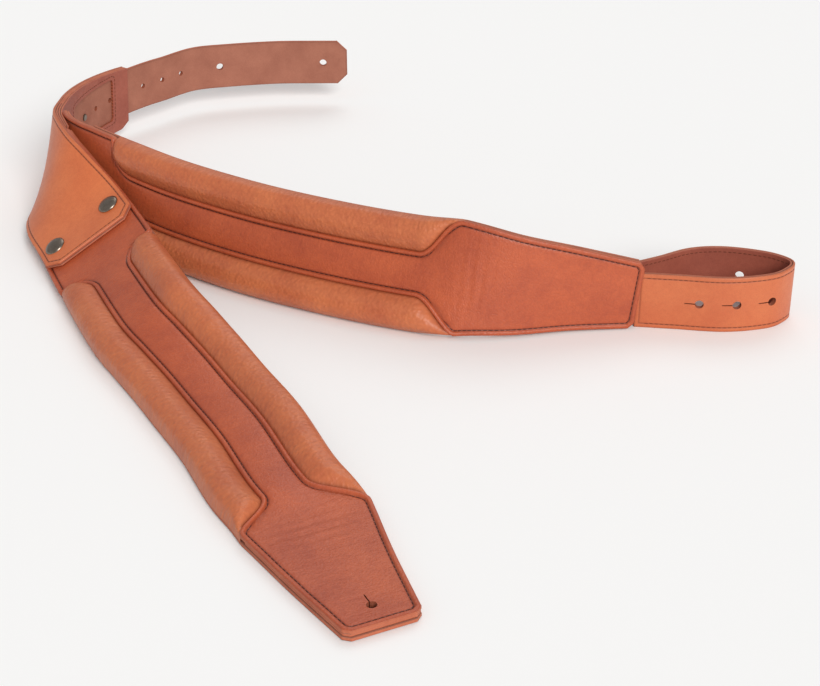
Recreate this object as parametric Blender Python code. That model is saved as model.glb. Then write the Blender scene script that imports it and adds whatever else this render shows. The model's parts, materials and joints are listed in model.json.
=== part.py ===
"""Dual-shoulder leather guitar strap with two padded shoulder straps, a yoke, a tail and a front loop.

Every leather piece is a flat pattern laid along a route. A route is the strap's centre line, and a place on
it has three coordinates: s along the line, t across the strap (positive upwards) and n out of its face.
The strap stands on its edge on a level surface, and the front pad turns until it lies flat at its tip.
"""
import math

import bmesh
import bpy
import numpy as np
from mathutils import Matrix, Vector

MM = 0.001
GAP = 0.3                 # clearance between touching pieces; all lengths below are millimetres
CENTRING = (-2.1, 0.8)    # added to every x and y, so that the origin is under the strap's middle

# Driving sizes of the strap
PAD_HALF = 45.0           # half the width of a shoulder pad
CHANNEL_HALF = 17.5       # half the width of the smooth channel between a pad's ridges
YOKE_HALF = 43.0          # half the width of the yoke at the flap
KEEPER_BELOW = 35.0       # how far the yoke reaches below its centre line at its tail end
KEEPER_ABOVE = 25.6       # and above it, just past the tongue
TONGUE_HALF = 23.0        # half the width of the tail tongue and of the front loop
RIDGE_HEIGHT = 9.5        # how far a padded ridge stands above the core
STEP = 6.0                # spacing of the common grid along the routes

# Layers of a pad along n, each (back face, front face)
FRONT_LAYER = (-2.2, -0.2)
CORE_LAYER = (-4.9, -2.5)
BACK_LAYER = (-7.8, -5.2)
NECK_BACK_LAYER = (-4.9, -2.5)

# Layers of the yoke along n
TONGUE_LAYER = (-1.8, 1.8)
OUTER_LAYER = (2.1, 4.6)
BACKING_LAYER = (0.1, 1.8)
LINING_LAYER = (-4.1, 1.8)
KEEPER_BACK = -2.1        # the keeper plate's face towards the tongue

# The yoke's tail end is a circular arc, so the tongue can slide along it
ARC_CENTRE = (-71.0, 229.5)
ARC_RADIUS = 225.0
ARC_LEAN = 4.0
ARC_HEIGHT = 46.0
KEEPER_ANGLE = 33.0       # where the yoke ends, in degrees round the arc from its leftmost point
TAIL_ANGLE = 6            # where the tongue starts inside the yoke

# Places along the left route: yoke, flap and pad A
POCKET_END = 144.0
WINDOW = (24.0, 111.0)
WINDOW_HALF = 21.5
LINING_END = 204.0
NECK_A_START = 210.0
FLAP_CREASE = 273.5
SNAP_PLACE = 313.5
SNAP_OFFSET = 28.0
FLAP_END = 341.0
FLAP_CORNER = 11.0
FLEX_A = 353.0
RIDGE_A = (380.0, 761.0)
TIP_A_HALF = 25.0

# Places along the right route: pad B, whose neck starts flat against the yoke's lining
TAB_PLACES = (152.0, 167.0)
TAB_OFFSET = -5.3
FLEX_B = 82.0
RIDGE_B_START = 120.0
RIDGE_LENGTH_B = 346.0
TIP_B_HALF = 27.0

FLEX_GAP = 1.8            # half the gap left at a line where a pad flexes
BUTTON_HOLE = 3.6         # radius of a strap-button hole
LOCK_HOLE = 2.5           # radius of a lock hole
LOCK_HOLES = 7
LOCK_PITCH = 25.0
FIRST_LOCK_HOLE = 29.5
TAIL_BUTTON_HOLES = (225.0, 332.0)
LOOP_HOLES = (43.0, 71.5, 100.0)
LOOP_BACK_HOLE = 174.5
LOOP_LAYERS = ((0.2, 2.2), (-1.8, -0.1))

LEATHER_ORANGE = (0.64, 0.22, 0.08)
LEATHER_CHANNEL = (0.50, 0.15, 0.06)
LEATHER_RIDGE = (0.56, 0.19, 0.08)
LEATHER_BROWN = (0.33, 0.12, 0.08)
FOAM_GREY = (0.25, 0.24, 0.23)
GUNMETAL = (0.30, 0.27, 0.24)


def rest_height(lean, half=PAD_HALF):
    """Height of the centre line of a strap that leans back by lean degrees and rests on its lower edge."""
    angle = math.radians(lean)
    return GAP + half * math.cos(angle) - BACK_LAYER[0] * math.sin(angle)


def arc_station(angle, lean=ARC_LEAN):
    """Station on the yoke's arc, angle degrees round from its leftmost point."""
    turn = math.radians(angle)
    x = ARC_CENTRE[0] - ARC_RADIUS * math.cos(turn)
    y = ARC_CENTRE[1] + ARC_RADIUS * math.sin(turn)
    return (x, y, ARC_HEIGHT, lean)


def leaning(x, y, lean, half=PAD_HALF):
    """Station of a strap that rests on its lower edge."""
    return (x, y, rest_height(lean, half), lean)


class Route:
    """Centre line of a strap, with its direction, its across direction and its outward normal."""

    SAMPLES = 24

    def __init__(self, stations):
        dense = self._smooth(np.asarray(stations, float))
        self.line = dense[:, :3] + (*CENTRING, 0.0)
        along = np.gradient(self.line, axis=0)
        along /= np.linalg.norm(along, axis=1)[:, None]
        lean = np.radians(dense[:, 3])[:, None]
        level = np.cross(along, (0.0, 0.0, 1.0))
        level /= np.linalg.norm(level, axis=1)[:, None]
        across = np.cos(lean) * np.array((0.0, 0.0, 1.0)) - np.sin(lean) * level
        across -= np.sum(across * along, axis=1)[:, None] * along
        across /= np.linalg.norm(across, axis=1)[:, None]
        self.along = along
        self.across = across
        self.normal = np.cross(along, across)
        steps = np.linalg.norm(np.diff(self.line, axis=0), axis=1)
        self.distance = np.concatenate(([0.0], np.cumsum(steps)))
        self.length = float(self.distance[-1])

    def _smooth(self, stations):
        """Catmull-Rom curve through the stations."""
        first = 2 * stations[0] - stations[1]
        last = 2 * stations[-1] - stations[-2]
        knots = np.vstack((first, stations, last))
        rows = []
        for i in range(1, len(knots) - 2):
            a, b, c, d = knots[i - 1:i + 3]
            for u in np.arange(self.SAMPLES) / self.SAMPLES:
                curve = 2 * b + (c - a) * u + (2 * a - 5 * b + 4 * c - d) * u ** 2
                rows.append(0.5 * (curve + (3 * b - a - 3 * c + d) * u ** 3))
        rows.append(stations[-1])
        return np.array(rows)

    def _read(self, values, s):
        return np.array([np.interp(s, self.distance, values[:, k]) for k in range(3)])

    def direction(self, s, which):
        """Unit vector at s: "along", "across" or "normal"."""
        vector = self._read(getattr(self, which), s)
        return Vector(vector / np.linalg.norm(vector))

    def place(self, s, t=0.0, n=0.0):
        """World position in metres of the point (s, t, n); past its ends the route runs straight on."""
        inside = min(max(s, 0.0), self.length)
        point = self._read(self.line, inside) + (s - inside) * self._read(self.along, inside)
        point = point + t * self._read(self.across, inside) + n * self._read(self.normal, inside)
        return Vector(point * MM)


LEFT_STATIONS = [arc_station(angle) for angle in (KEEPER_ANGLE, 30, 26, 22, 18, 14, 10, 6, 3, 0)] + [
    leaning(-299.5, 184.5, 12),
    leaning(-292.5, 142.5, 26),
    leaning(-277.5, 105.5, 43),
    leaning(-253, 62, 57),
    leaning(-226.5, 3, 61),
    leaning(-210, -36.5, 61),
    leaning(-184.5, -92, 62),
    leaning(-164, -124, 67),
    leaning(-142, -158, 73),
    leaning(-121, -194.5, 77),
    leaning(-95.5, -241, 79),
    leaning(-71, -293, 84),
    leaning(-50.5, -328, 88),
    leaning(-23, -386.5, 90),
    leaning(5.5, -444.5, 90),
]
# The tongue runs the other way round the arc, so its lean has the opposite sign
TAIL_STATIONS = [arc_station(angle, -ARC_LEAN) for angle in range(TAIL_ANGLE, 50, 4)] + [
    (-201, 420, ARC_HEIGHT, -ARC_LEAN),
    (-168, 434.5, 45, -ARC_LEAN),
    (-120, 445.5, 44.5, -ARC_LEAN),
    (-80, 448.5, 44, -ARC_LEAN),
    (-45, 448.5, 44, -ARC_LEAN),
]
RIGHT_STATIONS = [
    leaning(-293.5, 181.5, 11.5),
    leaning(-288, 166, 13),
    leaning(-277.5, 151, 12),
    leaning(-260.5, 134, 9),
    leaning(-223, 96.5, 11),
    leaning(-176, 53.5, 18),
    leaning(-110, 8.5, 23),
    leaning(-42, -28.5, 24),
    leaning(20, -56.5, 22),
    leaning(60, -71.5, 15, 46),
    leaning(100, -74.5, 8, 41),
    leaning(145, -67.5, 4, 34.5),
    leaning(197, -62, 3, 27),
]
LOOP_STATIONS = [
    (200.7, -58.4, TONGUE_HALF, 0),
    (225, -61.5, TONGUE_HALF, 0),
    (264, -66.5, TONGUE_HALF, 0),
    (297, -60.5, TONGUE_HALF, 0),
    (312, -49.5, TONGUE_HALF, 0),
    (318, -38.5, TONGUE_HALF, 0),
    (313, -28.5, TONGUE_HALF, 0),
    (298, -18.5, TONGUE_HALF, 0),
    (269, -10.5, TONGUE_HALF, 0),
    (242, -13.5, TONGUE_HALF, 0),
    (214, -29.5, TONGUE_HALF, 0),
    (186, -42.5, TONGUE_HALF, 0),
    (156, -46.5, TONGUE_HALF, 0),
]


def tab_stations(left):
    """Stations of pad B's neck where it is sewn flat against the inside of the yoke."""
    rows = []
    for s in TAB_PLACES:
        point = left.place(s, 0.0, TAB_OFFSET) / MM
        lean = math.degrees(math.acos(left.direction(s, "across").z))
        rows.append((point.x - CENTRING[0], point.y - CENTRING[1], point.z, lean))
    return rows


def material(name, colour, roughness=0.55, metallic=0.0):
    made = bpy.data.materials.new(name)
    made.use_nodes = True
    shader = made.node_tree.nodes["Principled BSDF"]
    shader.inputs["Base Color"].default_value = (*colour, 1.0)
    shader.inputs["Roughness"].default_value = roughness
    shader.inputs["Metallic"].default_value = metallic
    made.diffuse_color = (*colour, 1.0)
    return made


def body_object(name, mesh_data):
    """Turn a closed bmesh into a named object whose faces point out."""
    bmesh.ops.recalc_face_normals(mesh_data, faces=mesh_data.faces)
    if mesh_data.calc_volume(signed=True) < 0:
        bmesh.ops.reverse_faces(mesh_data, faces=mesh_data.faces)
    mesh = bpy.data.meshes.new(name)
    mesh_data.to_mesh(mesh)
    mesh_data.free()
    body = bpy.data.objects.new(name, mesh)
    bpy.context.collection.objects.link(body)
    return body


def finish_object(name, mesh_data, colour, roughness=0.55, metallic=0.0):
    """Turn a bmesh into a piece with its own material."""
    piece = body_object(name, mesh_data)
    piece.data.materials.append(material(name, colour, roughness, metallic))
    return piece


def stops(start, end, *extra, step=STEP):
    """Values of s from start to end on one common grid, so that neighbouring layers bend alike."""
    inner = [k * step for k in range(math.ceil(start / step), math.floor(end / step) + 1)]
    marks = sorted((start, *extra, end))
    inner = [s for s in inner if min(abs(s - mark) for mark in marks) > 0.2 * step]
    return sorted(marks + inner)


def lattice(columns, rows):
    """Closed block of unit size, divided along X and Y, with every cell split along the same diagonal."""
    block = bmesh.new()
    bmesh.ops.create_grid(block, x_segments=columns, y_segments=rows, size=0.5)
    for face in block.faces[:]:
        corners = sorted(face.verts, key=lambda vertex: vertex.co.x + vertex.co.y)
        bmesh.utils.face_split(face, corners[0], corners[-1])
    raised = bmesh.ops.extrude_face_region(block, geom=block.faces[:], use_keep_orig=True)
    top = [item for item in raised["geom"] if isinstance(item, bmesh.types.BMVert)]
    bmesh.ops.translate(block, verts=top, vec=(0.0, 0.0, 1.0))
    bmesh.ops.translate(block, verts=block.verts, vec=(0.5, 0.5, 0.0))
    return block


def slab_mesh(route, places, half, layer, rows=1):
    """Leather layer on a route. half and layer are values, or functions of s; half may be (below, above)."""
    columns = len(places) - 1
    block = lattice(columns, rows)
    for vertex in block.verts:
        s = places[round(vertex.co.x * columns)]
        width = half(s) if callable(half) else half
        below, above = width if isinstance(width, tuple) else (width, width)
        low, high = layer(s) if callable(layer) else layer
        t = vertex.co.y * (below + above) - below
        vertex.co = route.place(s, t, high if vertex.co.z > 0.5 else low)
    return block


def leather(name, route, places, half, layer, colour):
    return finish_object(name, slab_mesh(route, places, half, layer), colour)


def ramp(s, start, end):
    """Smooth step from 0 at start to 1 at end."""
    x = min(max((s - start) / (end - start), 0.0), 1.0)
    return x * x * (3 - 2 * x)


def line(s, start, end, first, last):
    """Straight change from first at start to last at end."""
    x = min(max((s - start) / (end - start), 0.0), 1.0)
    return first + (last - first) * x


def clipped(half, s, end, corner):
    """Half width near a cut end whose corners are clipped at 45 degrees."""
    return min(half, half - corner + abs(end - s))


class Pad:
    """Outlines of one shoulder pad on its route."""

    CURVE_IN = 30.0       # length of the scallop at the neck end of a ridge
    CURVE_OUT = 34.0      # length of the scallop at the tip end
    RIDGE_INSET = 5.0     # how far inside the scallops a ridge ends
    END_MARKS = (1.5, 4.0, 8.0, 12.0, 16.0, 20.0, 24.0, 28.0)

    def __init__(self, route, ridge_start, ridge_end, tip_half, corner):
        self.route = route
        self.start = ridge_start
        self.end = ridge_end
        self.tip_half = tip_half
        self.corner = corner

    def outline(self, s):
        """Half width of the whole pad."""
        tip = self.route.length
        half = line(s, self.end, tip, PAD_HALF, self.tip_half)
        return clipped(half, s, tip, self.corner)

    def panel(self, s):
        """Half width of the front panel: neck, channel and tip."""
        pinch = ramp(s, self.start, self.start + self.CURVE_IN)
        pinch -= ramp(s, self.end - self.CURVE_OUT, self.end)
        return min(self.outline(s), PAD_HALF + (CHANNEL_HALF - PAD_HALF) * pinch)

    def ridge_dome(self, end_inset, inner, outer, height, rows):
        """Grid of (s, t, rise) over a ridge between its scalloped inner edge and the pad's edge."""
        first = self.start + self.RIDGE_INSET
        last = self.end - self.RIDGE_INSET
        close = [offset for reach in self.END_MARKS for offset in (first + reach, last - reach)]
        places = stops(first, last, *close, step=3 * STEP)
        s0 = first + end_inset
        s1 = last - end_inset
        grid = []
        for place in places:
            s = line(place, first, last, s0, s1)
            near_end = min(s - s0, s1 - s)
            swell = math.sqrt(1 - (1 - min(near_end / 26.0, 1.0)) ** 2)
            low = min(self.panel(s) + inner, outer - 1.0)
            column = []
            for k in range(rows + 1):
                v = k / rows
                bulge = (1 - abs(2 * v - 1) ** 2.6) ** 0.6
                column.append((s, low + (outer - low) * v, height * swell * bulge))
            grid.append(column)
        return grid


def add_grid(block, grid, point):
    """Add a grid of faces to block; returns its vertices as rows."""
    rows = [[block.verts.new(point(*cell)) for cell in column] for column in grid]
    for a, b in zip(rows, rows[1:]):
        for k in range(len(a) - 1):
            block.faces.new((a[k], a[k + 1], b[k + 1], b[k]))
    return rows


def rim_of(rows):
    """Vertices round the border of a grid, in order."""
    last = len(rows[0]) - 1
    loop = list(rows[0])
    loop += [row[last] for row in rows[1:-1]]
    loop += reversed(rows[-1])
    loop += [row[0] for row in reversed(rows[1:-1])]
    return loop


def join_rims(block, upper, lower):
    """Close the strip between two borders with the same number of vertices."""
    count = len(upper)
    for k in range(count):
        j = (k + 1) % count
        block.faces.new((upper[k], lower[k], lower[j], upper[j]))


COVER = 1.2               # thickness of a ridge's leather cover
RIDGE_GAP = 0.5           # clearance between a ridge and the core under it
PANEL_GAP = 0.9           # clearance between a ridge and the front panel's turned edge
FOAM_EASE = 1.4           # clearance between the foam and its cover


def ridge_cover(name, pad, side):
    """Domed leather shell, open underneath, where it is sewn to the core."""
    base = CORE_LAYER[1] + RIDGE_GAP
    block = bmesh.new()

    def point(s, t, rise):
        return pad.route.place(s, side * t, base + rise)

    outer = pad.ridge_dome(0.0, PANEL_GAP, PAD_HALF, RIDGE_HEIGHT, 6)
    inner = pad.ridge_dome(3 * COVER, PANEL_GAP + COVER, PAD_HALF - COVER, RIDGE_HEIGHT - COVER, 6)
    outer_rows = add_grid(block, outer, point)
    inner_rows = add_grid(block, inner, point)
    join_rims(block, rim_of(outer_rows), rim_of(inner_rows))
    return finish_object(name, block, LEATHER_RIDGE)


def ridge_foam(name, pad, side):
    """Foam strip inside a ridge cover."""
    base = CORE_LAYER[1] + RIDGE_GAP
    inset = COVER + FOAM_EASE
    block = bmesh.new()
    dome = pad.ridge_dome(5 * inset, PANEL_GAP + inset, PAD_HALF - inset, RIDGE_HEIGHT - inset - FOAM_EASE, 6)

    def top(s, t, rise):
        return pad.route.place(s, side * t, base + 0.8 + rise)

    def bottom(s, t, rise):
        return pad.route.place(s, side * t, base)

    upper = add_grid(block, dome, top)
    lower = add_grid(block, dome, bottom)
    join_rims(block, rim_of(upper), rim_of(lower))
    return finish_object(name, block, FOAM_GREY, 0.9)


def cutter(name, mesh_data):
    """Hidden body that is cut out of others."""
    body = body_object(name, mesh_data)
    body.hide_render = True
    body.display_type = "WIRE"
    return body


def cut(piece, body):
    change = piece.modifiers.new("cut " + body.name, "BOOLEAN")
    change.operation = "DIFFERENCE"
    change.solver = "EXACT"
    change.object = body


def stand_on(route, s, t, n):
    """Matrix at a place on a route: X along the strap, Y across it and Z out of its face."""
    along = route.direction(s, "along")
    normal = route.direction(s, "normal")
    across = normal.cross(along)
    turn = Matrix((along, across, normal)).transposed().to_4x4()
    return Matrix.Translation(route.place(s, t, n)) @ turn


def add_disc(block, matrix, radius, low, high, sides=16):
    """Cylinder along the matrix's Z from low to high."""
    middle = Matrix.Translation((0.0, 0.0, (low + high) / 2 * MM))
    bmesh.ops.create_cone(block, cap_ends=True, segments=sides, radius1=radius * MM, radius2=radius * MM,
                          depth=(high - low) * MM, matrix=matrix @ middle)


def holes(name, route, places, radius, depth=(-12.0, 12.0), slit=0.0):
    """Cutter with a round hole at each place along a route, and a slit on its low s side if asked."""
    block = bmesh.new()
    for s in places:
        matrix = stand_on(route, s, 0.0, 0.0)
        add_disc(block, matrix, radius, *depth)
    body = cutter(name, block)
    bodies = [body]
    if slit:
        block = bmesh.new()
        for s in places:
            middle = Matrix.Translation((-(radius + slit / 2 - 0.5) * MM, 0.0, 0.0))
            size = Matrix.Diagonal(((slit + 1.0) * MM, 0.8 * MM, (depth[1] - depth[0]) * MM, 1.0))
            bmesh.ops.create_cube(block, size=1.0, matrix=stand_on(route, s, 0.0, 0.0) @ middle @ size)
        bodies.append(cutter(name + "_slit", block))
    return bodies


def turned(name, matrix, profile, colour, sides=24):
    """Solid of revolution about the matrix's Z from (radius, height) points, ends on the axis."""
    block = bmesh.new()
    points = [block.verts.new((radius * MM, 0.0, height * MM)) for radius, height in profile]
    edges = [block.edges.new(pair) for pair in zip(points, points[1:])]
    bmesh.ops.spin(block, geom=points + edges, cent=(0, 0, 0), axis=(0, 0, 1), angle=2 * math.pi,
                   steps=sides, use_merge=True)
    bmesh.ops.remove_doubles(block, verts=block.verts, dist=1e-6)
    bmesh.ops.transform(block, matrix=matrix, verts=block.verts)
    piece = finish_object(name, block, colour, 0.35, 1.0)
    piece.data.shade_smooth()
    piece.data.set_sharp_from_angle(angle=math.radians(40))
    return piece


def yoke_edges(s):
    """How far the yoke reaches below and above its line: less towards the keeper, whose corner is clipped."""
    below = min(line(s, 20.0, 190.0, KEEPER_BELOW, YOKE_HALF), 29.0 + s * 0.6)
    return below, line(s, 0.0, 190.0, KEEPER_ABOVE, YOKE_HALF)


def flap_half(s):
    return clipped(YOKE_HALF, s, FLAP_END, FLAP_CORNER)


def make_yoke(route):
    """Outer leather and lining of the yoke, with the tongue's pocket and its window."""
    def lining_layer(s):
        return LINING_LAYER if s <= LINING_END else BACKING_LAYER

    places = stops(0, FLAP_CREASE - GAP / 2, LINING_END, LINING_END + 0.6)
    leather("yoke_outer", route, places, yoke_edges, OUTER_LAYER, LEATHER_ORANGE)
    lining = leather("yoke_lining", route, places, yoke_edges, lining_layer, LEATHER_BROWN)
    pocket = slab_mesh(route, stops(-2 * STEP, POCKET_END), TONGUE_HALF + 2 * GAP, (KEEPER_BACK, 6.0))
    cut(lining, cutter("pocket_cutter", pocket))
    window = slab_mesh(route, stops(*WINDOW), WINDOW_HALF, (-8.0, KEEPER_BACK + 1.0))
    cut(lining, cutter("window_cutter", window))


def make_flap(route):
    """Snap flap with its lining; the snap fasteners pass through both."""
    places = stops(FLAP_CREASE + GAP / 2, FLAP_END, FLAP_END - FLAP_CORNER)
    flap = leather("snap_flap", route, places, flap_half, OUTER_LAYER, LEATHER_ORANGE)
    lining = leather("flap_lining", route, places, flap_half, BACKING_LAYER, LEATHER_BROWN)
    shanks = bmesh.new()
    sockets = bmesh.new()
    for side in (-1, 1):
        matrix = stand_on(route, SNAP_PLACE, side * SNAP_OFFSET, 0.0)
        add_disc(shanks, matrix, 2.5, 1.0, 8.0)
        add_disc(sockets, matrix, 6.7, -1.5, 3.0, 24)
    cut(flap, cutter("shank_cutter", shanks))
    cut(lining, cutter("socket_cutter", sockets))


def make_snaps(route):
    """Two snap fasteners: cap and socket in the flap, stud and post in pad A's neck."""
    for label, side in (("lower", -1), ("upper", 1)):
        matrix = stand_on(route, SNAP_PLACE, side * SNAP_OFFSET, 0.0)
        cap = [(0, 2.1), (2.2, 2.1), (2.2, 5.3), (8.6, 5.3), (9.0, 5.7), (8.2, 6.7), (6.0, 7.6), (3.0, 8.1),
               (0, 8.2)]
        turned("snap_cap_" + label, matrix, cap, GUNMETAL)
        socket = [(3.1, 0.1), (6.3, 0.1), (6.3, 1.5), (3.1, 1.5), (3.1, 0.1)]
        turned("snap_socket_" + label, matrix, socket, GUNMETAL)
        stud = [(0, -1.8), (6.3, -1.8), (6.3, -0.4), (2.5, -0.4), (2.6, 0.7), (2.2, 1.4), (0, 1.6)]
        turned("snap_stud_" + label, matrix, stud, GUNMETAL)
        post = [(0, -6.5), (5.5, -6.5), (5.5, -5.5), (1.8, -5.5), (1.8, -2.5), (0, -2.5)]
        turned("snap_post_" + label, matrix, post, GUNMETAL)


def make_tail(route):
    """Tail tongue with its holes and the two-part screw in the innermost one."""
    def half(s):
        return clipped(TONGUE_HALF, s, route.length, 10.0)

    places = stops(0, route.length, route.length - 10)
    tongue = leather("tail_tongue", route, places, half, TONGUE_LAYER, LEATHER_BROWN)
    lock_places = [FIRST_LOCK_HOLE + k * LOCK_PITCH for k in range(LOCK_HOLES)]
    for body in holes("lock_hole_cutter", route, lock_places, LOCK_HOLE):
        cut(tongue, body)
    for body in holes("tail_button_cutter", route, TAIL_BUTTON_HOLES, BUTTON_HOLE):
        cut(tongue, body)
    matrix = stand_on(route, FIRST_LOCK_HOLE, 0.0, 0.0)
    head = [(0, 2.1), (3.4, 2.1), (3.4, 2.9), (2.6, 3.4), (0, 3.4)]
    turned("lock_screw_head", matrix, head, GUNMETAL)
    post = [(0, -1.7), (1.9, -1.7), (1.9, 1.8), (0, 1.8)]
    turned("lock_screw_post", matrix, post, GUNMETAL)


def make_neck(name, route, start, end, half):
    """The two leathers of a pad's neck, on the fixed side of its flex line."""
    places = stops(start, end - FLEX_GAP)
    front = leather(name + "_neck_front", route, places, half, FRONT_LAYER, LEATHER_CHANNEL)
    back = leather(name + "_neck_back", route, places, half, NECK_BACK_LAYER, LEATHER_BROWN)
    return front, back


def make_pad(name, pad, flex, core_end):
    """The moving part of a pad: panels, core, ridges and foam."""
    route = pad.route
    start = flex + FLEX_GAP
    tip = route.length
    places = stops(start, tip, pad.end, tip - pad.corner)
    front = leather(name + "_front_panel", route, places, pad.panel, FRONT_LAYER, LEATHER_CHANNEL)
    back = leather(name + "_back_panel", route, places, pad.outline, BACK_LAYER, LEATHER_BROWN)
    core_places = stops(start, core_end, pad.end)
    core = leather(name + "_core", route, core_places, pad.outline, CORE_LAYER, LEATHER_BROWN)
    for label, side in (("lower", -1), ("upper", 1)):
        ridge_cover(name + "_ridge_" + label, pad, side)
        ridge_foam(name + "_foam_" + label, pad, side)
    return front, core, back


def make_pad_a(route):
    neck_front, neck_back = make_neck("pad_a", route, NECK_A_START, FLEX_A, YOKE_HALF)
    studs = bmesh.new()
    posts = bmesh.new()
    for side in (-1, 1):
        matrix = stand_on(route, SNAP_PLACE, side * SNAP_OFFSET, 0.0)
        add_disc(studs, matrix, 6.7, -3.6, 1.0, 24)
        add_disc(posts, matrix, 2.3, -7.0, 0.0)
    cut(neck_front, cutter("stud_cutter", studs))
    cut(neck_back, cutter("post_cutter", posts))
    pad = Pad(route, *RIDGE_A, TIP_A_HALF, 4.0)
    layers = make_pad("pad_a", pad, FLEX_A, route.length - 4.0)
    button = holes("tip_button_cutter", route, (route.length - 18.0,), BUTTON_HOLE, slit=9.0)
    for piece in layers:
        for body in button:
            cut(piece, body)


def make_pad_b(route):
    def neck_half(s):
        return line(s, 0.0, FLEX_B, YOKE_HALF, PAD_HALF)

    make_neck("pad_b", route, 0.0, FLEX_B, neck_half)
    pad = Pad(route, RIDGE_B_START, RIDGE_B_START + RIDGE_LENGTH_B, TIP_B_HALF, 4.0)
    anchor_start = route.length - 26.0
    make_pad("pad_b", pad, FLEX_B, anchor_start - GAP)
    places = stops(anchor_start, route.length - GAP)
    leather("loop_anchor", route, places, TONGUE_HALF - 2.0, CORE_LAYER, LEATHER_BROWN)


def make_loop(route):
    """Front loop: two leathers that bend back behind pad B's tip."""
    def half(s):
        return clipped(TONGUE_HALF, s, route.length, 6.0)

    places = stops(0, route.length, route.length - 6)
    outer = leather("loop_outer", route, places, half, LOOP_LAYERS[0], LEATHER_ORANGE)
    inner = leather("loop_lining", route, places, half, LOOP_LAYERS[1], LEATHER_BROWN)
    front = holes("loop_hole_cutter", route, LOOP_HOLES, BUTTON_HOLE, (-4.0, 4.0), slit=8.0)
    back = holes("loop_back_cutter", route, (LOOP_BACK_HOLE,), BUTTON_HOLE, (-4.0, 4.0))
    for piece in (outer, inner):
        for body in front + back:
            cut(piece, body)


def main():
    for old in list(bpy.data.objects):
        bpy.data.objects.remove(old, do_unlink=True)
    left = Route(LEFT_STATIONS)
    make_yoke(left)
    make_flap(left)
    make_snaps(left)
    make_tail(Route(TAIL_STATIONS))
    make_pad_a(left)
    make_pad_b(Route(tab_stations(left) + RIGHT_STATIONS))
    make_loop(Route(LOOP_STATIONS))


main()
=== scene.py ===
"""Leather guitar strap with two padded shoulder straps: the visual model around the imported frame."""

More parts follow.
